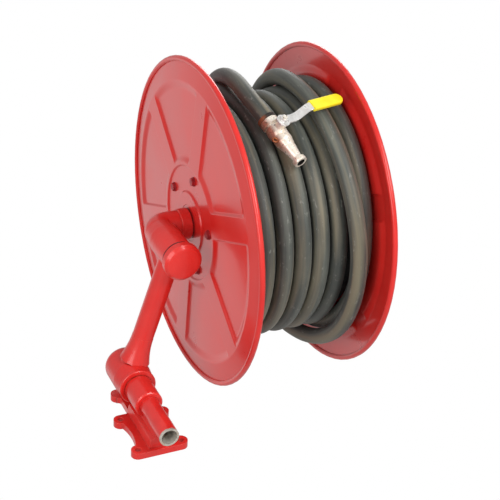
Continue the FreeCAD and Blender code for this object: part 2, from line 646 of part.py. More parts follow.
def hose_stations():
    """Points of the winding with their directions: quarter turns, then eighths in the last loops."""
    last = LAYER_LAST + EIGHTH * len(LAST_LOOPS)
    angles = [HOSE_START] + list(range(0, LAYER_LAST + 1, QUARTER))
    angles += list(range(LAYER_LAST + EIGHTH, last + 1, EIGHTH))
    stations = []
    for angle in angles:
        step = 25.0
        ahead = min(angle + step, last)
        behind = angle - step
        x0, r0 = hose_place(behind)
        x1, r1 = hose_place(ahead)
        x, r = hose_place(angle)
        slope_x = (x1 - x0) / (ahead - behind)
        slope_r = (r1 - r0) / (ahead - behind)
        small = 0.05
        here = drum_point(angle, r, x)
        beyond = drum_point(angle + small, r + slope_r * small, x + slope_x * small)
        stations.append((here, (beyond - here).normalize()))
    crown = drum_point(CROWN_ANGLE, CROWN_RADIUS, CROWN_X)
    ahead = nozzle_to_drum(V(0, 0, -TAIL_LENGTH))
    stations.append((crown, (ahead - stations[-1][0]).normalize()))
    stations.append((ahead, NOZZLE_AXIS))
    return stations


def biarc(start, start_way, end, end_way):
    """Two arcs that join two points in the given directions, and the mid point of each arc."""
    chord = end - start
    both = start_way + end_way
    a = 2 * (start_way.dot(end_way) - 1)
    b = -2 * chord.dot(both)
    c = chord.dot(chord)
    reach = (-b - math.sqrt(b * b - 4 * a * c)) / (2 * a)
    reach = max(reach, (-b + math.sqrt(b * b - 4 * a * c)) / (2 * a))
    joint = (start + start_way * reach + end - end_way * reach) * 0.5
    return [arc_from(start, start_way, joint), arc_to(joint, end, end_way)]


def arc_from(start, way, end):
    chord = end - start
    length = chord.Length
    cosine = max(-1.0, min(1.0, way.dot(chord) / length))
    half = math.acos(cosine) / 2
    normal = (chord - way * chord.dot(way))
    if normal.Length < 1e-9:
        return Part.LineSegment(start, end), 1e9, (start + end) * 0.5
    along = chord / length
    side = (way - along * way.dot(along)).normalize()
    mid = (start + end) * 0.5 + side * (length / 2 * math.tan(half))
    radius = length / (2 * math.sin(2 * half))
    return Part.Arc(start, mid, end), radius, mid


def arc_to(start, end, way):
    backwards = arc_from(end, way * -1, start)
    return Part.Arc(start, backwards[2], end), backwards[1], backwards[2]


def nozzle_axes():
    stem = (STEM_HINT - NOZZLE_AXIS * STEM_HINT.dot(NOZZLE_AXIS)).normalize()
    return stem.cross(NOZZLE_AXIS), stem, NOZZLE_AXIS


def nozzle_to_drum(local):
    across, stem, jet = nozzle_axes()
    return NOZZLE_AT + across * local.x + stem * local.y + jet * local.z


def hose_winding():
    stations = hose_stations()
    arcs = []
    for (p0, t0), (p1, t1) in zip(stations, stations[1:]):
        arcs += biarc(p0, t0, p1, t1)
    first_point, first_way = stations[0]
    last_point = stations[-1][0]
    edges = [Part.LineSegment(first_point - first_way * (2 * HOSE_R), first_point).toShape()]
    edges += [arc[0].toShape() for arc in arcs]
    edges.append(Part.LineSegment(last_point, nozzle_to_drum(V(0, 0, 0))).toShape())
    path = Part.Wire(edges)
    circle = Part.Wire(Part.makeCircle(HOSE_R, first_point - first_way * (2 * HOSE_R), first_way))
    body = path.makePipeShell([circle], True, False)
    length = path.Length
    radii = [arc[1] for arc in arcs]
    print("hose winding: length %.0f mm, tightest arc %.0f mm, valid %s, volume ratio %.4f" %
          (length, min(radii), body.isValid(), body.Volume / (math.pi * HOSE_R ** 2 * length)))
    print("hose winding: least gap between turns %.2f mm" % (least_gap(path) - 2 * HOSE_R))
    tail_start = nozzle_to_drum(V(0, 0, -TAIL_LENGTH))
    return body.cut(cylinder(tail_start, NOZZLE_AXIS, HOSE_BORE_R, TAIL_LENGTH + 1))


def least_gap(path):
    """Least distance between points of the path that are over a third of a turn apart."""
    points = []
    for edge in path.Edges:
        count = max(2, int(edge.Length / 12))
        first, last = edge.ParameterRange
        points += [edge.valueAt(first + (last - first) * k / count) for k in range(count)]
    skip = int(400 / 12)
    best = 1e9
    for i, p in enumerate(points):
        for q in points[i + skip:]:
            gap = abs(p.x - q.x)
            if gap < best:
                best = min(best, p.distanceToPoint(q))
    return best


# Nozzle


def place_nozzle(shape):
    across, stem, jet = nozzle_axes()
    matrix = FreeCAD.Matrix(across.x, stem.x, jet.x, NOZZLE_AT.x, across.y, stem.y, jet.y, NOZZLE_AT.y,
                            across.z, stem.z, jet.z, NOZZLE_AT.z, 0, 0, 0, 1)
    placed = shape.copy()
    placed.Placement = FreeCAD.Placement(matrix)
    return placed


def hose_ferrule():
    inner = HOSE_R + 0.1
    outer = HOSE_R + 2
    outline = [(-5, inner), (-5, outer - 0.8), (-4.2, outer), (0.6, outer), (1.4, outer - 0.8), (1.4, inner)]
    return place_nozzle(turned(outline, V(0, 0, 0), UP))


def valve_body():
    tail = HOSE_BORE_R - 0.1
    outside = [(-33, tail - 1.4), (-28, tail), (0.1, tail), (0.1, 13), (1.6, 13), (1.6, 15), (2.6, 16),
               (12, 16), (13.2, 14.8), (13.2, 12.4), (15, 12.4), (17, 14.8), (21, 16), (31, 16), (36, 15),
               (38, 13), (47, 13)]
    inside = [(47, 9), (STEM_Z + 12, 9), (STEM_Z + 12, BALL_R + 1.2), (STEM_Z - 12, BALL_R + 1.2),
              (STEM_Z - 12, 6.5), (-33, 6.5)]
    shell = turned(outside + inside, V(0, 0, 0), UP)
    boss = cylinder(V(0, BALL_R + 3, STEM_Z), V(0, 1, 0), 8.5, 9.5)
    shell = shell.fuse(boss).cut(cylinder(V(0, 0, STEM_Z), V(0, 1, 0), 4.1, 60))
    return place_nozzle(shell.cut(cylinder(V(0, BALL_R + 6, STEM_Z), V(0, 1, 0), 6.0, 20)))


def ball_seats():
    rings = [tube(V(0, 0, z), UP, BALL_R + 1.1, 7.5, 2.6) for z in (STEM_Z - 11.9, STEM_Z + 9.3)]
    ball = Part.makeSphere(BALL_R + 0.05, V(0, 0, STEM_Z))
    return place_nozzle(Part.makeCompound([ring.cut(ball) for ring in rings]))


def packing_nut():
    nut = hexagon(V(0, 23.6, STEM_Z), V(0, 1, 0), 14.0, 1.8)
    nut = nut.fuse(cylinder(V(0, BALL_R + 6.2, STEM_Z), V(0, 1, 0), 5.9, 7))
    return place_nozzle(nut.cut(cylinder(V(0, 0, STEM_Z), V(0, 1, 0), 4.1, 60)))


def nozzle_cone():
    collar = [(38.1, 13.1), (38.1, 14.2), (39, 15), (48, 15), (51, 13.8), (58, 12.4)]
    tip = [(60, 11.8), (83, 8.2), (85.5, 8.6), (87, 11), (91, 11.6), (95, 11)]
    bore = [(95, 6.5), (91, 4.8), (66, 4.8), (48, 9), (47.2, 9), (47.2, 13.1)]
    return place_nozzle(turned(collar + tip + bore, V(0, 0, 0), UP))


def valve_ball():
    ball = Part.makeSphere(BALL_R, V(0, 0, STEM_Z)).cut(cylinder(V(-20, 0, STEM_Z), EAST, 7.0, 40))
    return place_nozzle(ball.cut(Part.makeBox(20, 10, 3.2, V(-10, BALL_R - 2.5, STEM_Z - 1.6))))


def valve_stem():
    stem = cylinder(V(0, BALL_R + 0.1, STEM_Z), V(0, 1, 0), 4.0, 25.5)
    tongue = Part.makeBox(6.4, 3, 3.0, V(-3.2, BALL_R - 2.4, STEM_Z - 1.5))
    return place_nozzle(stem.fuse(tongue))


def lever_path(lift):
    """Side profile of the cranked lever: flat, a rise and flat again, lifted by a distance."""
    low = LEVER_Y + lift
    high = LEVER_Y + LEVER_RISE + lift
    return [(-11, low), (22, low), (30, low + 3), (44, high - 3), (52, high), (LEVER_LENGTH - 3, high)]


def lever_strip(width, grow, first, last):
    low = lever_path(-grow)[first:last]
    high = lever_path(LEVER_THICK + grow)[first:last]
    corners = [V(x, y, STEM_Z - width / 2) for x, y in low + high[::-1]]
    return Part.Face(Part.makePolygon(corners + [corners[0]])).extrude(V(0, 0, width))


def lever_plate():
    width = 15.0
    strip = lever_strip(width, 0, 0, 6)
    eye = cylinder(V(0, LEVER_Y, STEM_Z), V(0, 1, 0), 11.5, LEVER_THICK)
    tip = cylinder(V(LEVER_LENGTH - 3 - width / 2, LEVER_Y, STEM_Z), V(0, 1, 0), width / 2, 60)
    keep = Part.makeBox(LEVER_LENGTH, 60, width + 12, V(-12, LEVER_Y - 1, STEM_Z - width / 2 - 6))
    keep.translate(V(-(3 + width / 2), 0, 0))
    strip = strip.common(keep.fuse(tip)).fuse(eye)
    return place_nozzle(strip.cut(cylinder(V(0, 0, STEM_Z), V(0, 1, 0), 4.05, 60)))


def lever_grip():
    """Soft sleeve over the lever's outer end: rounded slab with the lever's own slot in it."""
    width = 21.0
    thick = 8.0
    start = 53.0
    y = LEVER_Y + LEVER_RISE - (thick - LEVER_THICK) / 2
    slab = Part.makeBox(LEVER_LENGTH - start - width / 2, thick, width, V(start, y, STEM_Z - width / 2))
    end = cylinder(V(LEVER_LENGTH - width / 2, y, STEM_Z), V(0, 1, 0), width / 2, thick)
    body = slab.fuse(end).removeSplitter()
    long_edges = [edge for edge in body.Edges
                  if abs(edge.tangentAt(edge.FirstParameter).y) < 0.1 and edge.BoundBox.XMax > start + 1]
    body = body.makeFillet(2.6, long_edges)
    slot_y = LEVER_Y + LEVER_RISE - 0.05
    slot_end_x = LEVER_LENGTH - 3 - 7.5
    slot_corner = V(start - 1, slot_y, STEM_Z - 7.55)
    slot = Part.makeBox(slot_end_x - start + 1.1, LEVER_THICK + 0.1, 15.1, slot_corner)
    slot_end = cylinder(V(slot_end_x, slot_y, STEM_Z), V(0, 1, 0), 7.55, LEVER_THICK + 0.1)
    return place_nozzle(body.cut(slot.fuse(slot_end)))


def lever_nut():
    seat = LEVER_Y + LEVER_THICK + 0.05
    nut = hexagon(V(0, seat, STEM_Z), V(0, 1, 0), 13.0, 5.5)
    return place_nozzle(nut.cut(cylinder(V(0, 0, STEM_Z), V(0, 1, 0), 4.02, 60)))


os.makedirs("parts", exist_ok=True)
PIECES = (wall_bracket, inlet_pipe, swivel_pin, swivel_seals, thrust_washer, swivel_collar, swing_head,
          arm_tube, elbow_body, elbow_cap, cap_seal, gland_ring, hub_washer, hub_spindle, spindle_seals,
          end_washer, end_nut, drum_barrel, hub_body, outlet_pipe, inner_clamp, hose_core, hose_winding,
          hose_ferrule, valve_body, ball_seats, packing_nut, nozzle_cone, valve_ball, valve_stem,
          lever_plate, lever_grip, lever_nut)
for piece in PIECES:
    save(piece.__name__, piece())
for side, word in ((-1, "left"), (1, "right")):
    save(word + "_disc", disc(side))
    save(word + "_bolts", bolts(side))
    save(word + "_nuts", nuts(side))
    save(word + "_flange", hub_flange(side))
    save(word + "_bush", bush(side))
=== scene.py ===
import math

import bpy
import numpy as np
from mathutils import Matrix, Vector

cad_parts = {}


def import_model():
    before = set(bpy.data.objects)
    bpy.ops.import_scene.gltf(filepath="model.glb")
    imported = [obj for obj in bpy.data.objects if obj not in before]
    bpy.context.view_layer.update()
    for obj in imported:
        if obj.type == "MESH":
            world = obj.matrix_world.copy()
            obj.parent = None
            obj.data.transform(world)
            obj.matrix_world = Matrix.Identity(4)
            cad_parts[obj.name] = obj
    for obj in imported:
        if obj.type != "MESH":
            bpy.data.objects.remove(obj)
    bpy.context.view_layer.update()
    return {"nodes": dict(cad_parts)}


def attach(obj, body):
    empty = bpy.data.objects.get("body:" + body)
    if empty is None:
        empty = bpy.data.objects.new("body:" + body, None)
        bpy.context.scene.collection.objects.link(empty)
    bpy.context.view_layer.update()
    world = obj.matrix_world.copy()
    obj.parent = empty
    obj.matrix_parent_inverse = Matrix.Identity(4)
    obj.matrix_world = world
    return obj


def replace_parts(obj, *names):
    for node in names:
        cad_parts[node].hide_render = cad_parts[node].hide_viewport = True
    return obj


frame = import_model()

# All sizes are in metres. +Z is up along the swing axis and the wall is the plane Y = 0.

# Drum and pressed discs. Levels are outboard of the plane through a rim's bead.

RIM_RADIUS = 0.290
RIM_SPACING = 0.238
DRUM = Vector((0.262, -0.294, 0.183))
LEFT_RIM_X = DRUM.x - RIM_SPACING / 2
RIGHT_RIM_X = DRUM.x + RIM_SPACING / 2
SHEET = 0.002
BEAD_R = 0.005
HUB_HOLE_R = 0.0324
RING_R = 0.105
DISC_FLOOR = 0.006
# Radius and level at each corner of the sheet, and how far a corner is rounded to either side
DISC_PROFILE = ((HUB_HOLE_R, 0.009), (0.0545, 0.009), (0.0568, DISC_FLOOR), (0.100, DISC_FLOOR),
                (0.102, 0.0086), (RING_R, 0.0086), (0.250, 0.0056), (0.281, 0.001))
DISC_SOFT = 0.0006
RIB_COUNT = 6
RIB_ANGLE = math.radians(36)
RIB_HALF_WIDTH = 0.0205
FIELD_DEPTH = 0.0038
FIELD_WALL = 0.0046
FIELD_OUTER_R = 0.233
FIELD_OUTER_WALL = 0.016
FIELD_INNER_R = 0.119
FIELD_INNER_WALL = 0.013
FIELD_CORNER_R = 0.006
# Where a disc's mesh has its points, given in millimetres and close together at each bend: by radius,
# and by distance from a rib's centre line
DISC_RADII = [0.001 * r for r in (
    32.4, 33, 38, 45, 51, 53, 53.9, 54.2, 54.5, 54.8, 55.2, 55.7, 56.2, 56.6, 57, 57.4, 60, 70, 82, 95, 99,
    99.5, 99.9, 100.2, 100.6, 101, 101.4, 101.8, 102.1, 102.5, 103, 104, 105, 106, 107, 108, 109.5, 111,
    112.5, 114, 116, 119, 122, 135, 150, 165, 180, 195, 210, 222, 228, 231, 233, 235, 237, 239, 241, 243,
    245, 247, 248.4, 249.2, 250, 250.8, 252, 256, 264, 274, 280, 281)]
BESIDE_RIB = [0.001 * y for y in (
    0, 6, 12, 16, 19, 20, 20.7, 21.4, 22.2, 23, 23.8, 24.6, 25.3, 26.2, 28, 31, 36)]

# Disc bolts

BOLT_COUNT = 5
BOLT_ANGLE = math.radians(23.3)
BOLT_CIRCLE_R = 0.0834
BOLT_FLATS = 0.013
BOLT_HEAD = 0.0053
BOLT_TOP_SHARE = 0.84
BOLT_WASHER_R = 0.0085
BOLT_WASHER = 0.0012
BOLT_CHAMFER = 0.14 * (BOLT_HEAD - BOLT_WASHER)
BOLT_HEAD_TURN = 0.37

# Pipe, arm and elbow

SWIVEL = Vector((0.0, -0.058, 0.0))
PIPE_END_Z = -0.087
PIPE_BORE_R = 0.0136
PAINT_EDGE = 0.0009
PAINT_RAGGED = 0.004
ARM_Z = 0.1046
ARM_R = 0.0185
BLEND_FROM = 0.030
BLEND_TO = 0.078
BLEND_ROOT_R = 0.0262
BLEND_SKIN = 0.0004
ELBOW_X = 0.074
ELBOW_R = 0.0285
# A thin dark bead that paints the shadow line above the elbow's cap
CAP_SHADOW_Z = 0.0768
CAP_SHADOW_BEAD = 0.0011

# Hose. Angles go round the drum in degrees: 0 is up, 90 is towards the room.

HOSE_R = 0.0145
CORE_INNER_R = 0.1001
CORE_R = 0.1842
CORE_TURNS = 7
CORE_GAP = 0.0006
LAYER_R = 0.1995
LAYER_FIRST_X = 0.0146
LAYER_PITCH = 0.0332
LAYER_STEP_FROM = 228.0
LAYER_STEP_TURN = 85.0
HOSE_START = -38.0
LAYER_LAST = 2070.0
EIGHTH = 45.0
TURN_STEP = 22.5
# Where a turn of the layer stands up: its middle and half width in degrees, and its height
RAISED = ((412, 40, 0.010), (768, 44, 0.030), (1132, 40, 0.010), (1860, 45, 0.003))
# The last loops lie unevenly on the layer: distance from the left rim plane and radius, one pair for
# each eighth of a turn after LAYER_LAST
LAST_LOOPS = ((0.2138, 0.1995), (0.2138, 0.1995), (0.2145, 0.2055), (0.221, 0.2265), (0.221, 0.220),
              (0.219, 0.211), (0.219, 0.2085), (0.221, 0.221), (0.219, 0.231), (0.212, 0.2335),
              (0.197, 0.2345), (0.1815, 0.2315), (0.188, 0.2355), (0.200, 0.238), (0.2035, 0.2385),
              (0.190, 0.239), (0.158, 0.241), (0.128, 0.245), (0.102, 0.254))
# The loose end on its way to the nozzle: angle, radius and distance from the left rim plane
LOOSE_END = (75.0, 0.255, 0.082)

# Nozzle. Its own axes are ACROSS, STEM and JET, from the hose's end.

NOZZLE_AT = DRUM + Vector((-0.030, -0.217, -0.084))
JET = Vector((0.256, 0.437, -0.863)).normalized()
STEM_HINT = Vector((0.170, -0.8985, -0.404))
STEM = (STEM_HINT - JET * STEM_HINT.dot(JET)).normalized()
ACROSS = STEM.cross(JET)
TAIL_LENGTH = 0.036
JET_BORE_R = 0.0072
JET_BORE_FROM = 0.080
# Across the nozzle, where its painted copper-brown shade begins and where it is full
SHADED_SIDE_FROM = -0.011
SHADED_SIDE_TO = -0.016
EYE_PLACE = (-0.0185, 0.004, 0.043)
EYE_R = 0.0044
EYE_WIRE = 0.0017
NOZZLE_NODES = ("hose_ferrule", "valve_body", "ball_seats", "packing_nut", "nozzle_cone", "valve_ball",
                "valve_stem", "lever_plate", "lever_grip", "lever_nut")

# Studio

FLOOR_Z = -2.9
FLOOR_REACH = 30.0
ROOM_GREY = 0.55
WHITE_PATCH = Vector((-0.33, 0.42, 0.85)).normalized()
# The cosines of the angles from the patch's middle at which it has faded out and is full white
PATCH_EDGE = 0.94
PATCH_FULL = 0.998
LAMPS = (("main_light", (1.0, -2.1, -1.7), 1.5, 46),
         ("fill_light", (-1.8, -1.2, -1.3), 1.8, 30),
         ("top_light", (1.6, -1.2, 2.2), 1.5, 24))
CAMERA_PLACE = (-0.65409, -1.3913, -1.67782)
CAMERA_TURN = (148.9735, 24.2190, -3.4867)
CAMERA_LENS = 94.98


# Mesh helpers


def on_body(name, mesh, body):
    """Puts a mesh in the scene as a piece that rides on a body."""
    obj = bpy.data.objects.new(name, mesh)
    bpy.context.scene.collection.objects.link(obj)
    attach(obj, body)
    return obj


def piece(name, points, faces, material, body, smooth_below):
    """A piece from points and faces. Faces that meet at over smooth_below degrees keep a sharp edge."""
    mesh = bpy.data.meshes.new(name)
    mesh.from_pydata([tuple(p) for p in points], [], faces)
    mesh.validate()
    mesh.polygons.foreach_set("use_smooth", [True] * len(mesh.polygons))
    mesh.set_sharp_from_angle(angle=math.radians(smooth_below))
    mesh.materials.append(material)
    return on_body(name, mesh, body)


def swept_faces(rings, around, loop=False):
    """Quads between rings of points, with a cap at each end unless the rings form a loop."""
    faces = []
    for i in range(rings if loop else rings - 1):
        a = i * around
        b = ((i + 1) % rings) * around
        for j in range(around):
            k = (j + 1) % around
            faces.append((a + j, a + k, b + k, b + j))
    if not loop:
        faces.append(tuple(range(around))[::-1])
        faces.append(tuple(range((rings - 1) * around, rings * around)))
    return faces


def circle(centre, side, other, radius, count):
    """Points round a circle, from side towards other."""
    angles = [2 * math.pi * k / count for k in range(count)]
    return [centre + side * (radius * math.cos(a)) + other * (radius * math.sin(a)) for a in angles]


def drum_point(angle, radius, x):
    """A point by its angle round the drum, its radius and its distance from the left rim plane."""
    a = math.radians(angle)
    return Vector((LEFT_RIM_X + x, DRUM.y - radius * math.sin(a), DRUM.z + radius * math.cos(a)))


def nozzle_point(x, y, z):
    """A point in the nozzle's own axes."""
    return NOZZLE_AT + ACROSS * x + STEM * y + JET * z


# Shader helpers


def connect(node, inputs):
    """Links each input to the socket given for it, or sets it to the value given."""
    for key, value in inputs.items():
        if isinstance(value, bpy.types.NodeSocket):
            node.id_data.links.new(value, node.inputs[key])
        else:
            node.inputs[key].default_value = value


def put(tree, kind, inputs=None, **settings):
    """A new node with its settings and inputs."""
    node = tree.nodes.new(kind)
    for name, value in settings.items():
        setattr(node, name, value)
    connect(node, inputs or {})
    return node


def rgb(red, green, blue):
    """A colour given as it looks on the screen, from 0 to 255, as Blender's linear one."""
    shares = [c / 255 for c in (red, green, blue)]
    return tuple(c / 12.92 if c < 0.04045 else ((c + 0.055) / 1.055) ** 2.4 for c in shares)


def opaque(shade):
    """A colour, or a number as a grey, with its alpha."""
    return (*shade, 1) if isinstance(shade, tuple) else (shade, shade, shade, 1)


def ramp(tree, value, stops):
    """A colour ramp from stops of a place and a colour or grey."""
    node = put(tree, "ShaderNodeValToRGB", {"Fac": value})
    elements = node.color_ramp.elements
    while len(elements) < len(stops):
        elements.new(0.5)
    for element, (place, shade) in zip(elements, stops):
        element.position = place
        element.color = opaque(shade)
    return node.outputs["Color"]


def mix(tree, factor, a, b):
    """Mixes two colours. Each is a socket, a colour or a grey."""
    ends = [end if isinstance(end, bpy.types.NodeSocket) else opaque(end) for end in (a, b)]
    return put(tree, "ShaderNodeMix", {0: factor, 6: ends[0], 7: ends[1]}, data_type="RGBA").outputs[2]


def math_node(tree, operation, *values, clamp=False):
    """One step of arithmetic on numbers or sockets."""
    node = put(tree, "ShaderNodeMath", dict(enumerate(values)), operation=operation, use_clamp=clamp)
    return node.outputs[0]


def vector_node(tree, operation, a, b):
    """One step of vector arithmetic. Dot products and distances give a number."""
    node = put(tree, "ShaderNodeVectorMath", {0: a, 1: b}, operation=operation)
    return node.outputs["Value" if operation in ("DOT_PRODUCT", "DISTANCE") else "Vector"]


def noise(tree, where, scale, detail, roughness=0.5):
    """Cloudy values between 0 and 1."""
    return put(tree, "ShaderNodeTexNoise", {"Vector": where, "Scale": scale, "Detail": detail,
                                            "Roughness": roughness}).outputs["Fac"]


def bump(tree, height, strength, distance, normal=None):
    """A bumped normal, over another one if it is given."""
    inputs = {"Height": height, "Strength": strength, "Distance": distance}
    if normal is not None:
        inputs["Normal"] = normal
    return put(tree, "ShaderNodeBump", inputs).outputs["Normal"]


def object_coords(tree):
    return put(tree, "ShaderNodeTexCoord").outputs["Object"]


def group(name, inputs, outputs):
    """An empty shader group from input names with their values and output names with their kinds."""
    tree = bpy.data.node_groups.new(name, "ShaderNodeTree")
    for label, value in inputs.items():
        socket = tree.interface.new_socket(label, in_out="INPUT", socket_type="NodeSocketFloat")
        socket.default_value = value
    for label, kind in outputs.items():
        tree.interface.new_socket(label, in_out="OUTPUT", socket_type=kind)
    return tree, tree.nodes.new("NodeGroupInput").outputs, tree.nodes.new("NodeGroupOutput")


def use(tree, which, **inputs):
    """The outputs of a group placed in a material with its own values."""
    return put(tree, "ShaderNodeGroup", inputs, node_tree=which).outputs


# Effects that several finishes share


def edge_wear_and_highlight_group():
    """Rounded edge normal, and a mask that is 1 along edges, broken up by noise. The mask marks worn edges
    on metal, and a painted highlight together with rubbed paint on cast enamel.
    """
    tree, given, end = group("edge wear and highlight", {"Width": 0.001, "Grain": 300.0},
                             {"Edge": "NodeSocketFloat", "Normal": "NodeSocketVector"})
    bevel = put(tree, "ShaderNodeBevel", {"Radius": given["Width"]}, samples=6).outputs[0]
    face = put(tree, "ShaderNodeNewGeometry").outputs["Normal"]
    sharp = math_node(tree, "SUBTRACT", 1.0, vector_node(tree, "DOT_PRODUCT", bevel, face))
    sharp = math_node(tree, "MULTIPLY", sharp, 9.0, clamp=True)
    grain = noise(tree, object_coords(tree), given["Grain"], 4.0)
    broken = ramp(tree, grain, ((0.35, 0.25), (0.62, 1.0)))
    connect(end, {"Edge": math_node(tree, "MULTIPLY", sharp, broken), "Normal": bevel})
    return tree


def soiling_group():
    """Cloudy mask for dust and stains, with finer grain inside it."""
    tree, given, end = group("soiling", {"Scale": 8.0, "Amount": 0.5}, {"Mask": "NodeSocketFloat"})
    coords = object_coords(tree)
    cloud = ramp(tree, noise(tree, coords, given["Scale"], 5.0, 0.62), ((0.42, 0.0), (0.72, 1.0)))
    grain = ramp(tree, noise(tree, coords, 520.0, 2.0), ((0.3, 0.45), (0.7, 1.0)))
    both = math_node(tree, "MULTIPLY", cloud, grain)
    connect(end, {"Mask": math_node(tree, "MULTIPLY", both, given["Amount"], clamp=True)})
    return tree


def nozzle_shade_and_pits_group():
    """Masks for the nozzle: copper brown painted as shade on the side away from the lever, pits, and the
    jet's bore painted near black as shade.
    """
    masks = dict.fromkeys(("Shaded Side", "Pits", "Bore Shade"), "NodeSocketFloat")
    tree, given, end = group("nozzle shade and pits", {"Wear": 1.0, "Pitting": 1.0}, masks)
    coords = object_coords(tree)
    place = vector_node(tree, "SUBTRACT", coords, tuple(NOZZLE_AT))
    ahead = vector_node(tree, "DOT_PRODUCT", place, tuple(JET))
    aside = vector_node(tree, "DOT_PRODUCT", place, tuple(ACROSS))
    on_axis = put(tree, "ShaderNodeVectorMath", {0: tuple(JET), "Scale": ahead}, operation="SCALE")
    radius = vector_node(tree, "DISTANCE", place, on_axis.outputs[0])
    shift = math_node(tree, "MULTIPLY", noise(tree, coords, 90.0, 4.0), 0.004)
    side = math_node(tree, "SUBTRACT", aside, shift)
    shaded_side = put(tree, "ShaderNodeMapRange", {"Value": side, "From Min": SHADED_SIDE_FROM, "From Max": SHADED_SIDE_TO,
                                            "To Min": 0.0, "To Max": given["Wear"]})
    pits = ramp(tree, noise(tree, coords, 240.0, 3.0), ((0.63, 0.0), (0.7, 1.0)))
    inside = math_node(tree, "LESS_THAN", radius, JET_BORE_R)
    at_jet = math_node(tree, "GREATER_THAN", ahead, JET_BORE_FROM)
    connect(end, {"Shaded Side": shaded_side.outputs[0],
                  "Pits": math_node(tree, "MULTIPLY", pits, given["Pitting"]),
                  "Bore Shade": math_node(tree, "MULTIPLY", inside, at_jet)})
    return tree


EDGE_WEAR_AND_HIGHLIGHT = edge_wear_and_highlight_group()
SOILING = soiling_group()
NOZZLE_SHADE_AND_PITS = nozzle_shade_and_pits_group()


# Finishes


def material(name):
    """A new material with its tree, its Principled shader and its Object coordinates."""
    made = bpy.data.materials.new(name)
    made.use_nodes = True
    tree = made.node_tree
    return made, tree, tree.nodes["Principled BSDF"], object_coords(tree)


def red_enamel(name, lumps, lump_scale, worn_and_lit_edge_share=0.0, corner_shade_share=0.0):
    """Gloss red enamel over a lumpy skin. On castings its edges are painted pale, partly as rubbed paint
    and partly as a painted highlight, and its corners are painted dark as shade.
    """
    made, tree, shader, coords = material(name)
    cloud = noise(tree, coords, 9.0, 4.0)
    colour = ramp(tree, cloud, ((0.3, rgb(208, 33, 29)), (0.7, rgb(222, 43, 37))))
    rounded = None
    if worn_and_lit_edge_share:
        edges = use(tree, EDGE_WEAR_AND_HIGHLIGHT, Width=0.0012, Grain=90.0)
        # Pale edges: rubbed paint, and a painted highlight along them
        rubbed_and_lit = math_node(tree, "MULTIPLY", edges["Edge"], worn_and_lit_edge_share)
        colour = mix(tree, rubbed_and_lit, colour, rgb(244, 112, 98))
        rounded = edges["Normal"]
    if corner_shade_share:
        # Painted shade: darker red where corners and creases close in
        corner = put(tree, "ShaderNodeAmbientOcclusion", {"Distance": 0.009}, samples=8)
        painted_corner_shade = ramp(tree, corner.outputs["AO"], ((0.25, corner_shade_share), (0.75, 0.0)))
        colour = mix(tree, painted_corner_shade, colour, rgb(136, 16, 20))
    dust = use(tree, SOILING, Scale=14.0, Amount=0.08)["Mask"]
    rough = ramp(tree, cloud, ((0.3, 0.26), (0.7, 0.36)))
    skin = bump(tree, noise(tree, coords, lump_scale, 5.0), 1.0, lumps, rounded)
    connect(shader, {"Base Color": mix(tree, dust, colour, rgb(205, 120, 104)),
                     "Roughness": mix(tree, dust, rough, 0.6),
                     "Normal": bump(tree, noise(tree, coords, 420.0, 2.0), 0.5, 0.00006, skin),
                     "IOR": 1.42, "Coat Weight": 0.35, "Coat Roughness": 0.12})
    return made


def painted_pipe():
    """Red enamel outside, with the pipe's cut end and its bore in bare galvanised steel."""
    made, tree, shader, coords = material("pipe_enamel_and_zinc")
    place = put(tree, "ShaderNodeSeparateXYZ", {"Vector": coords}).outputs
    ragged = math_node(tree, "MULTIPLY", noise(tree, coords, 160.0, 4.0), PAINT_RAGGED)
    height = math_node(tree, "SUBTRACT", place["Z"], ragged)
    bare_end = math_node(tree, "LESS_THAN", height, PIPE_END_Z + PAINT_EDGE)
    off_axis = math_node(tree, "SUBTRACT", place["Y"], SWIVEL.y)
    squares = [math_node(tree, "POWER", distance, 2.0) for distance in (place["X"], off_axis)]
    radius = math_node(tree, "SQRT", math_node(tree, "ADD", *squares))
    bore = math_node(tree, "LESS_THAN", radius, PIPE_BORE_R + PAINT_EDGE)
    bare = math_node(tree, "MAXIMUM", bare_end, bore)
    cloud = noise(tree, coords, 60.0, 4.0)
    zinc = ramp(tree, cloud, ((0.3, rgb(140, 132, 120)), (0.55, rgb(196, 190, 178)),
                              (0.75, rgb(168, 136, 110))))
    paint = ramp(tree, cloud, ((0.3, rgb(206, 34, 30)), (0.7, rgb(220, 44, 38))))
    edges = use(tree, EDGE_WEAR_AND_HIGHLIGHT, Width=0.0007, Grain=200.0)
    connect(shader, {"Base Color": mix(tree, bare, paint, zinc),
                     "Roughness": mix(tree, bare, 0.3, 0.5),
                     "Metallic": math_node(tree, "MULTIPLY", bare, 0.3),
                     "Normal": bump(tree, cloud, 0.4, 0.0004, edges["Normal"]),
                     "Coat Weight": 0.3})
    return made


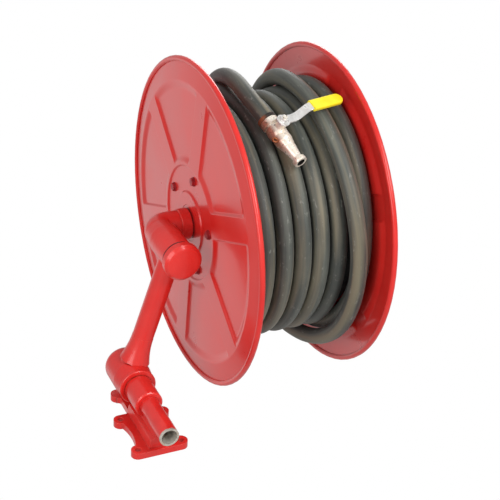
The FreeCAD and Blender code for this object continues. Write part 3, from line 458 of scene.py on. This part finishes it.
def metal(name, bright, dull, tarnish, stain, roughness, grain, metallic=1.0, on_nozzle=False):
    """Metal, bright on its edges, dull and tarnished in patches, and on the nozzle painted with shade. The
    grain is its scale and depth.
    """
    made, tree, shader, coords = material(name)
    edges = use(tree, EDGE_WEAR_AND_HIGHLIGHT, Width=0.0006, Grain=400.0)
    cloud = noise(tree, coords, 130.0, 5.0)
    stained = use(tree, SOILING, Scale=75.0, Amount=stain)["Mask"]
    colour = mix(tree, stained, ramp(tree, cloud, ((0.35, dull), (0.65, bright))), tarnish)
    colour = mix(tree, edges["Edge"], colour, bright)
    shine = ramp(tree, cloud, ((0.3, roughness + 0.12), (0.7, roughness - 0.05)))
    shine = mix(tree, stained, shine, 0.65)
    if on_nozzle:
        # On the nozzle: copper brown painted as shade on the side away from the lever, dark pits, and the
        # jet's bore painted near black as shade
        masks = use(tree, NOZZLE_SHADE_AND_PITS, Wear=0.85, Pitting=0.8)
        colour = mix(tree, masks["Shaded Side"], colour, rgb(156, 96, 66))
        colour = mix(tree, masks["Pits"], colour, rgb(84, 54, 38))
        colour = mix(tree, masks["Bore Shade"], colour, (0.006, 0.004, 0.003))
        shine = mix(tree, masks["Bore Shade"], shine, 1.0)
    scale, depth = grain
    connect(shader, {"Base Color": colour, "Roughness": shine, "Metallic": metallic,
                     "Normal": bump(tree, noise(tree, coords, scale, 4.0), 0.7, depth, edges["Normal"])})
    return made


def hose_rubber():
    """Dark grey rubber with lines along the hose, tan bands, scuffs and dust."""
    made, tree, shader, coords = material("hose_rubber")
    along = put(tree, "ShaderNodeUVMap", uv_map="hose").outputs["UV"]

    def streaks(lengthwise, across, detail, roughness=0.5):
        """Noise drawn out along the hose."""
        drawn = put(tree, "ShaderNodeMapping", {"Vector": along, "Scale": (lengthwise, across, 1.0)})
        return noise(tree, drawn.outputs[0], 1.0, detail, roughness)

    streak = streaks(3.0, 60.0, 6.0, 0.6)
    colour = ramp(tree, streak, ((0.3, rgb(44, 48, 46)), (0.5, rgb(68, 72, 68)),
                                 (0.7, rgb(100, 104, 96))))
    dust = use(tree, SOILING, Scale=9.0, Amount=0.4)["Mask"]
    colour = mix(tree, dust, colour, rgb(120, 118, 104))
    band = ramp(tree, streaks(2.4, 34.0, 3.0), ((0.5, 0.0), (0.64, 0.7)))
    colour = mix(tree, band, colour, rgb(132, 122, 98))
    scuff = ramp(tree, streaks(45.0, 110.0, 4.0, 0.7), ((0.6, 0.0), (0.72, 0.5)))
    colour = mix(tree, scuff, colour, rgb(172, 172, 164))
    rough = ramp(tree, streak, ((0.3, 0.46), (0.7, 0.62)))
    lined = bump(tree, streaks(0.6, 210.0, 3.0), 0.6, 0.00025)
    connect(shader, {"Base Color": colour,
                     "Roughness": mix(tree, dust, rough, 0.75),
                     "Normal": bump(tree, noise(tree, coords, 700.0, 3.0), 0.5, 0.00012, lined),
                     "Sheen Weight": 0.06})
    return made


def plain_rubber(name, dark):
    """Even rubber in a grey from 0 to 255, a little lighter in its grain."""
    made, tree, shader, coords = material(name)
    grain = noise(tree, coords, 500.0, 3.0)
    light = dark + 16
    colour = ramp(tree, grain, ((0.3, rgb(dark, dark, dark)), (0.7, rgb(light, light, light - 1))))
    connect(shader, {"Base Color": colour, "Roughness": 0.62, "Normal": bump(tree, grain, 0.5, 0.0002)})
    return made


def yellow_vinyl():
    """Dipped vinyl: even yellow with faint thick and thin places and a soft gloss."""
    made, tree, shader, coords = material("yellow_vinyl")
    cloud = noise(tree, coords, 55.0, 4.0)
    colour = ramp(tree, cloud, ((0.35, rgb(246, 222, 20)), (0.65, rgb(252, 236, 48))))
    dust = use(tree, SOILING, Scale=60.0, Amount=0.16)["Mask"]
    connect(shader, {"Base Color": mix(tree, dust, colour, rgb(196, 176, 60)),
                     "Roughness": ramp(tree, cloud, ((0.3, 0.34), (0.7, 0.44))),
                     "Normal": bump(tree, noise(tree, coords, 380.0, 2.0), 0.5, 0.00012)})
    return made


SHEET_RED = red_enamel("sheet_enamel", lumps=0.0001, lump_scale=9.0)
CAST_RED = red_enamel("casting_enamel", lumps=0.0010, lump_scale=60.0, worn_and_lit_edge_share=0.5, corner_shade_share=0.8)
PIPE_RED = painted_pipe()
BOLT_RED = metal("painted_bolt", rgb(176, 26, 34), rgb(138, 16, 24), rgb(80, 14, 18),
                 stain=0.5, roughness=0.42, grain=(400.0, 0.0001), metallic=0.0)
# A dark red for painted shadow lines
SHADOW_RED = metal("painted_shadow_red", rgb(120, 22, 24), rgb(84, 14, 16), rgb(60, 14, 14),
                 stain=0.4, roughness=0.5, grain=(300.0, 0.0001), metallic=0.0)
ZINC = metal("zinc_steel", rgb(206, 206, 202), rgb(160, 160, 156), rgb(120, 104, 86),
             stain=0.5, roughness=0.32, grain=(500.0, 0.0001))
LEVER_STEEL = metal("lever_steel", rgb(250, 249, 246), rgb(222, 221, 218), rgb(160, 150, 138),
                    stain=0.3, roughness=0.28, grain=(650.0, 0.00012), metallic=0.6)
BRASS = metal("aged_brass", rgb(190, 122, 84), rgb(150, 84, 56), rgb(92, 52, 36),
              stain=0.8, roughness=0.42, grain=(350.0, 0.0002))
FERRULE = metal("dark_ferrule", rgb(70, 60, 54), rgb(46, 42, 40), rgb(34, 30, 28),
                stain=0.5, roughness=0.5, grain=(380.0, 0.0002), metallic=0.5, on_nozzle=True)
NICKEL = metal("worn_and_shaded_nickel", rgb(255, 250, 238), rgb(246, 234, 216), rgb(176, 134, 104),
               stain=0.3, roughness=0.26, grain=(380.0, 0.0003), metallic=0.4, on_nozzle=True)
SEAL = plain_rubber("seal_rubber", 24)
# The inner layers are the same hose, painted darker as the shade between the outer turns
SHADED_INNER_HOSE = plain_rubber("inner_hose_in_painted_shade", 38)
HOSE = hose_rubber()
YELLOW = yellow_vinyl()


# Hose


def hose_place(angle):
    """Distance from the left rim plane and radius of the hose at an angle."""
    if angle <= LAYER_LAST:
        turn = math.floor((angle - LAYER_STEP_FROM) / 360)
        share = min(1.0, (angle - LAYER_STEP_FROM - 360 * turn) / LAYER_STEP_TURN)
        step = share * share * (3 - 2 * share)
        lift = sum(height * (1 + math.cos(math.pi * min(1.0, abs(angle - middle) / half))) / 2
                   for middle, half, height in RAISED)
        return LAYER_FIRST_X + LAYER_PITCH * max(0, turn + step), LAYER_R + lift
    spot = (angle - LAYER_LAST) / EIGHTH
    first = min(int(spot), len(LAST_LOOPS) - 1)
    before = LAST_LOOPS[first - 1] if first else hose_place(LAYER_LAST)
    return tuple(b + (spot - first) * (a - b) for a, b in zip(LAST_LOOPS[first], before))


def hose_route():
    """Control points of the hose: turns by a formula, then the loose end to the nozzle."""
    # A spline of order 3 runs inside its control points by this share at an even step
    inside = 0.75 + 0.25 * math.cos(math.radians(TURN_STEP))
    last = LAYER_LAST + EIGHTH * len(LAST_LOOPS)
    x, radius = hose_place(HOSE_START)
    start = drum_point(HOSE_START, radius, x)
    way = (drum_point(HOSE_START + 0.1, radius, x) - start).normalized()
    points = [start - way * (2 * HOSE_R), start]
    angle = HOSE_START + TURN_STEP / 2
    while angle <= last:
        x, radius = hose_place(angle)
        points.append(drum_point(angle, radius / inside, x))
        angle += TURN_STEP
    points.append(drum_point(*LOOSE_END))
    points.append(nozzle_point(0, 0, -TAIL_LENGTH))
    points.append(nozzle_point(0, 0, 0))
    return points


def centreline(points):
    """Points down the middle of the smooth spline through a route."""
    curve = bpy.data.curves.new("route", "CURVE")
    curve.dimensions = "3D"
    spline = curve.splines.new("NURBS")
    spline.points.add(len(points) - 1)
    for point, place in zip(spline.points, points):
        point.co = (*place, 1)
    spline.order_u = 3
    spline.use_endpoint_u = True
    spline.resolution_u = 8
    holder = bpy.data.objects.new("route", curve)
    mesh = bpy.data.meshes.new_from_object(holder)
    line = [v.co.copy() for v in mesh.vertices]
    bpy.data.objects.remove(holder)
    bpy.data.curves.remove(curve)
    bpy.data.meshes.remove(mesh)
    return line


def add_hose_uv(mesh, travelled, around):
    """A map of the hose's skin: metres along it, and a tenth of a turn round it."""
    uv = mesh.uv_layers.new(name="hose")
    for polygon in mesh.polygons:
        corners = [(k, *divmod(mesh.loops[k].vertex_index, around)) for k in polygon.loop_indices]
        over_seam = around - 1 in [step for _, _, step in corners]
        for corner, ring, step in corners:
            turn = 1.0 if over_seam and step == 0 else step / around
            uv.data[corner].uv = (travelled[ring], turn * 0.1)


def hose():
    """The outer layer and the last loops as one unbroken tube, with the nozzle's pieces at its end."""
    around = 30
    line = centreline(hose_route())
    points = []
    travelled = [0.0]
    side = ACROSS
    for i, place in enumerate(line):
        ahead = line[min(i + 1, len(line) - 1)]
        behind = line[max(i - 1, 0)]
        way = (ahead - behind).normalized()
        side = (side - way * side.dot(way)).normalized()
        points += circle(place, side, way.cross(side), HOSE_R, around)
        if i:
            travelled.append(travelled[-1] + (place - behind).length)
    made = piece("hose", points, swept_faces(len(line), around), HOSE, "drum", 60)
    add_hose_uv(made.data, travelled, around)
    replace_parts(made, "hose_winding")
    [frame["nodes"][n] for n in NOZZLE_NODES] + [nozzle_eye()]


def inner_layers():
    """The hose under the outer layer: a ring whose skin has the rounds of its turns, in a darker rubber
    that paints the shade between the turns.
    """
    columns = 120
    steps = 10
    left = LEFT_RIM_X + CORE_GAP
    right = RIGHT_RIM_X - CORE_GAP
    pitch = (right - left) / CORE_TURNS
    valley = CORE_R - HOSE_R
    section = [(left, CORE_INNER_R), (left, valley)]
    for turn in range(CORE_TURNS):
        centre = left + pitch * (turn + 0.5)
        for k in range(steps + 1):
            a = math.pi * k / steps
            section.append((centre - pitch / 2 * math.cos(a), valley + HOSE_R * math.sin(a)))
    section += [(right, valley), (right, CORE_INNER_R)]
    points = []
    for column in range(columns):
        points += [drum_point(360 * column / columns, r, x - LEFT_RIM_X) for x, r in section]
    faces = swept_faces(columns, len(section), loop=True)
    made = piece("hose_inner_layers", points, faces, SHADED_INNER_HOSE, "drum", 50)
    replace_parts(made, "hose_core")


# Pressed discs


def rib_angle(beside, radius):
    """Angle between a rib's centre line and a place beside it. Inside the ring it stays the same."""
    return math.asin(beside / max(radius, RING_R))


def climb(beyond_side, beyond_end, end_wall):
    """Share of the way up a field's wall, from the distances beyond its floor's side and end."""
    across = beyond_side + FIELD_CORNER_R
    along = beyond_end + FIELD_CORNER_R
    steep = FIELD_WALL ** 2 + end_wall ** 2
    lean = across * FIELD_WALL + along * end_wall
    root = lean ** 2 - steep * (across ** 2 + along ** 2 - FIELD_CORNER_R ** 2)
    if root > 0:
        share = (lean - math.sqrt(root)) / steep
        if across > share * FIELD_WALL and along > share * end_wall:
            return share
    return max(beyond_side / FIELD_WALL, beyond_end / end_wall)


def disc_level(radius, beside):
    """Level of the pressed sheet, beside being the distance from the nearest rib's centre line."""
    base = sum(np.interp(radius + DISC_SOFT * k / 3, *zip(*DISC_PROFILE)) for k in range(-3, 4)) / 7
    beyond = RIB_HALF_WIDTH + FIELD_WALL - beside
    if radius > (FIELD_OUTER_R + FIELD_INNER_R) / 2:
        share = climb(beyond, radius - FIELD_OUTER_R, FIELD_OUTER_WALL)
    else:
        share = climb(beyond, FIELD_INNER_R - radius, FIELD_INNER_WALL)
    share = min(1.0, max(0.0, share))
    return base - FIELD_DEPTH * (1 - share * share * (3 - 2 * share))


def disc(name, side):
    """One pressed disc with its rolled rim. Columns follow the ribs' sides and fan out between them."""
    fan = 9
    bead_steps = 18
    join = math.asin(SHEET / 2 / BEAD_R)
    bead = [join + (2 * math.pi - 2 * join) * k / bead_steps for k in range(1, bead_steps)]
    sector = 2 * math.pi / RIB_COUNT
    columns = []
    for rib in range(RIB_COUNT):
        columns += [(rib, y, None) for y in BESIDE_RIB]
        columns += [(rib, None, k / fan) for k in range(1, fan)]
        columns += [(rib + 1, -y, None) for y in BESIDE_RIB[:0:-1]]

    def place(column, radius):
        """Angle round the disc and distance beside the nearest rib's centre line."""
        rib, y, share = column
        centre = side * RIB_ANGLE + sector * rib
        if share is None:
            return centre + math.copysign(rib_angle(abs(y), radius), y), abs(y)
        margin = rib_angle(BESIDE_RIB[-1], radius)
        turn = margin + share * (sector - 2 * margin)
        return centre + turn, radius * math.sin(min(turn, sector - turn))

    points = []

    def add(angle, radius, level):
        x = DRUM.x + side * (RIM_SPACING / 2 + level)
        points.append((x, DRUM.y - side * radius * math.sin(angle), DRUM.z + radius * math.cos(angle)))

    for column in columns:
        outer = [(*place(column, radius), radius) for radius in DISC_RADII]
        for angle, beside, radius in outer:
            add(angle, radius, disc_level(radius, beside))
        for turn in bead:
            add(outer[-1][0], RIM_RADIUS - BEAD_R - BEAD_R * math.cos(turn), BEAD_R * math.sin(turn))
        for angle, beside, radius in outer[::-1]:
            add(angle, radius, disc_level(radius, beside) - SHEET)
    faces = swept_faces(len(columns), 2 * len(DISC_RADII) + len(bead), loop=True)
    return piece(name, points, faces, SHEET_RED, "drum", 50)


# Disc bolts


def bolt_ring_tree():
    """A ring of hex bolts on washers. It lies in XY, with the heads towards +Z."""
    tree = bpy.data.node_groups.new("bolt ring", "GeometryNodeTree")
    sizes = {}
    for label in ("Count", "Circle Radius", "First Angle", "Head Turn", "Head Radius", "Head Height",
                  "Chamfer", "Top Radius", "Washer Radius", "Washer Height", "Finish"):
        kind = {"Count": "NodeSocketInt", "Finish": "NodeSocketMaterial"}.get(label, "NodeSocketFloat")
        sizes[label] = tree.interface.new_socket(label, in_out="INPUT", socket_type=kind).identifier
    tree.interface.new_socket("Bolts", in_out="OUTPUT", socket_type="NodeSocketGeometry")
    given = tree.nodes.new("NodeGroupInput").outputs
    end = tree.nodes.new("NodeGroupOutput")

    def upright(value):
        return put(tree, "ShaderNodeCombineXYZ", {"Z": value}).outputs[0]

    def moved(geometry, way, value):
        """Geometry lifted along Z or turned round it."""
        node = put(tree, "GeometryNodeTransform", {"Geometry": geometry, way: upright(value)})
        return node.outputs[0]

    def prism(sides, radius, depth, base):
        """A cylinder or a hex prism that stands on a base level."""
        body = put(tree, "GeometryNodeMeshCylinder", {"Vertices": sides, "Radius": radius,
                                                      "Depth": depth})
        middle = math_node(tree, "ADD", base, math_node(tree, "MULTIPLY", depth, 0.5))
        return moved(body.outputs["Mesh"], "Translation", middle)

    washer = prism(32, given["Washer Radius"], given["Washer Height"], 0.0)
    chamfer_from = math_node(tree, "SUBTRACT", given["Head Height"], given["Chamfer"])
    flats = math_node(tree, "SUBTRACT", chamfer_from, given["Washer Height"])
    head = prism(6, given["Head Radius"], flats, given["Washer Height"])
    cone = put(tree, "GeometryNodeMeshCone", {"Vertices": 6, "Depth": given["Chamfer"],
                                              "Radius Bottom": given["Head Radius"],
                                              "Radius Top": given["Top Radius"]})
    crown = moved(cone.outputs["Mesh"], "Translation", chamfer_from)
    bolt = tree.nodes.new("GeometryNodeJoinGeometry")
    for part in (washer, head, crown):
        tree.links.new(part, bolt.inputs[0])
    bolt_circle = put(tree, "GeometryNodeMeshCircle", {"Vertices": given["Count"],
                                                       "Radius": given["Circle Radius"]})
    places = moved(bolt_circle.outputs[0], "Rotation", given["First Angle"])
    number = put(tree, "GeometryNodeInputIndex").outputs[0]
    turned = upright(math_node(tree, "MULTIPLY", number, given["Head Turn"]))
    ring = put(tree, "GeometryNodeInstanceOnPoints", {"Points": places, "Instance": bolt.outputs[0],
                                                      "Rotation": turned})
    solid = put(tree, "GeometryNodeRealizeInstances", {"Geometry": ring.outputs[0]})
    finished = put(tree, "GeometryNodeSetMaterial", {"Geometry": solid.outputs[0],
                                                     "Material": given["Finish"]})
    connect(end, {0: finished.outputs[0]})
    return tree, sizes


def bolt_ring(name, side):
    """The bolts of one disc as a plain mesh in their place."""
    tree, sizes = bolt_ring_tree()
    holder = bpy.data.objects.new(name + "_rule", bpy.data.meshes.new(name + "_rule"))
    bpy.context.scene.collection.objects.link(holder)
    modifier = holder.modifiers.new("bolts", "NODES")
    modifier.node_group = tree
    head_r = BOLT_FLATS / math.sqrt(3)
    values = {"Count": BOLT_COUNT, "Circle Radius": BOLT_CIRCLE_R, "First Angle": side * BOLT_ANGLE,
              "Head Turn": BOLT_HEAD_TURN, "Head Radius": head_r, "Head Height": BOLT_HEAD,
              "Chamfer": BOLT_CHAMFER, "Top Radius": head_r * BOLT_TOP_SHARE,
              "Washer Radius": BOLT_WASHER_R, "Washer Height": BOLT_WASHER, "Finish": BOLT_RED}
    for label, value in values.items():
        modifier[sizes[label]] = value
    evaluated = holder.evaluated_get(bpy.context.evaluated_depsgraph_get())
    mesh = bpy.data.meshes.new_from_object(evaluated)
    bpy.data.objects.remove(holder)
    floor_x = DRUM.x + side * (RIM_SPACING / 2 + DISC_FLOOR)
    mesh.transform(Matrix(((0, 0, side, floor_x),
                           (0, -side, 0, DRUM.y),
                           (1, 0, 0, DRUM.z),
                           (0, 0, 0, 1))))
    mesh.name = name
    return on_body(name, mesh, "drum")


# Castings and beads


def socket_blend():
    """The cast shoulder that runs from the swivel head into the arm's tube."""
    way = Vector((ELBOW_X - SWIVEL.x, DRUM.y - SWIVEL.y, 0)).normalized()
    up = Vector((0, 0, 1))
    side = way.cross(up)
    steps = 12
    around = 48
    points = []
    for k in range(steps + 1):
        share = k / steps
        centre = SWIVEL + up * ARM_Z + way * (BLEND_FROM + (BLEND_TO - BLEND_FROM) * share)
        radius = ARM_R + BLEND_SKIN + (BLEND_ROOT_R - ARM_R) * (1 - share) ** 2
        points += circle(centre, side, up, radius, around)
    faces = swept_faces(steps + 1, around)
    piece("socket_blend", points, faces, CAST_RED, "swing_arm", 40)


def bead_ring(name, centre, axis, radius, thick, material, body):
    """A round bead bent into a ring."""
    side = axis.orthogonal().normalized()
    other = axis.cross(side)
    columns = 72
    around = 12
    points = []
    for place in circle(centre, side, other, radius, columns):
        points += circle(place, (place - centre).normalized(), axis, thick, around)
    return piece(name, points, swept_faces(columns, around, loop=True), material, body, 60)


def cap_shadow_line():
    """A dark bead that paints the shadow line where the elbow's cap screws home."""
    centre = Vector((ELBOW_X, DRUM.y, CAP_SHADOW_Z))
    up = Vector((0, 0, 1))
    bead_ring("cap_shadow_line", centre, up, ELBOW_R, CAP_SHADOW_BEAD, SHADOW_RED, "swing_arm")


def nozzle_eye():
    """The small eye cast on the nozzle's side."""
    centre = nozzle_point(*EYE_PLACE)
    return bead_ring("nozzle_eye", centre, STEM, EYE_R, EYE_WIRE, BRASS, "drum")


# Build

hose()
inner_layers()
socket_blend()
cap_shadow_line()
for side, word in ((-1, "left"), (1, "right")):
    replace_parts(disc(word + "_pressed_disc", side), word + "_disc")
    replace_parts(bolt_ring(word + "_bolt_ring", side), word + "_bolts")

FINISHES = {
    CAST_RED: ("wall_bracket", "swivel_collar", "swing_head", "elbow_body", "elbow_cap", "gland_ring",
               "hub_body", "hub_washer"),
    SHEET_RED: ("arm_tube", "drum_barrel", "left_flange", "right_flange"),
    PIPE_RED: ("inlet_pipe",),
    ZINC: ("hub_spindle", "end_washer", "end_nut", "inner_clamp", "left_nuts", "right_nuts"),
    LEVER_STEEL: ("lever_plate", "lever_nut"),
    BRASS: ("swivel_pin", "left_bush", "right_bush", "outlet_pipe", "thrust_washer"),
    FERRULE: ("hose_ferrule",),
    NICKEL: ("valve_body", "nozzle_cone", "packing_nut", "valve_stem", "valve_ball"),
    SEAL: ("swivel_seals", "cap_seal", "spindle_seals", "ball_seats"),
    YELLOW: ("lever_grip",),
}
for finish, nodes in FINISHES.items():
    for node in nodes:
        mesh = frame["nodes"][node].data
        mesh.materials.clear()
        mesh.materials.append(finish)


# Studio


def floor():
    """A pale floor well below the reel, white where the camera sees it."""
    mesh = bpy.data.meshes.new("floor")
    signs = ((-1, -1), (1, -1), (1, 1), (-1, 1))
    corners = [(x * FLOOR_REACH, y * FLOOR_REACH, FLOOR_Z) for x, y in signs]
    mesh.from_pydata(corners, [], [(0, 1, 2, 3)])
    made, tree, shader, _ = material("pale_floor")
    connect(shader, {"Base Color": opaque(0.86), "Roughness": 0.9})
    white = put(tree, "ShaderNodeEmission", {"Color": opaque(1.0), "Strength": 1.0})
    seen = put(tree, "ShaderNodeLightPath").outputs["Is Camera Ray"]
    both = put(tree, "ShaderNodeMixShader", {0: seen, 1: shader.outputs[0], 2: white.outputs[0]})
    connect(tree.nodes["Material Output"], {"Surface": both.outputs[0]})
    mesh.materials.append(made)
    obj = bpy.data.objects.new("floor", mesh)
    bpy.context.scene.collection.objects.link(obj)


def lamp(name, place, size, power):
    """A round area lamp that faces the drum."""
    data = bpy.data.lights.new(name, "AREA")
    data.shape = "DISK"
    data.size = size
    data.energy = power
    obj = bpy.data.objects.new(name, data)
    obj.location = place
    obj.rotation_euler = (DRUM - Vector(place)).to_track_quat("-Z", "Y").to_euler()
    bpy.context.scene.collection.objects.link(obj)


def world():
    """White to the camera, a softer grey as light. Reflections see a white patch up behind the reel."""
    made = bpy.data.worlds.new("studio")
    made.use_nodes = True
    tree = made.node_tree
    rays = put(tree, "ShaderNodeLightPath").outputs
    way = put(tree, "ShaderNodeTexCoord").outputs["Generated"]
    near = vector_node(tree, "DOT_PRODUCT", way, tuple(WHITE_PATCH))
    patch = put(tree, "ShaderNodeMapRange", {"Value": near, "From Min": PATCH_EDGE,
                                             "From Max": PATCH_FULL, "To Min": ROOM_GREY, "To Max": 1.0},
                interpolation_type="SMOOTHSTEP")
    lit = mix(tree, rays["Is Glossy Ray"], ROOM_GREY, patch.outputs[0])
    seen = math_node(tree, "MAXIMUM", rays["Is Camera Ray"], rays["Is Transmission Ray"])
    connect(tree.nodes["Background"], {"Color": opaque(1.0), "Strength": mix(tree, seen, lit, 1.0)})
    bpy.context.scene.world = made


def camera():
    """The photograph's camera: below the drum on the room side, with the wall's normal upright."""
    data = bpy.data.cameras.new("camera")
    data.lens = CAMERA_LENS
    data.sensor_width = 36.0
    data.clip_end = 100.0
    obj = bpy.data.objects.new("camera", data)
    obj.location = CAMERA_PLACE
    obj.rotation_euler = [math.radians(a) for a in CAMERA_TURN]
    bpy.context.scene.collection.objects.link(obj)
    bpy.context.scene.camera = obj


floor()
world()
for row in LAMPS:
    lamp(*row)
camera()
bpy.context.scene.view_settings.view_transform = "Standard"
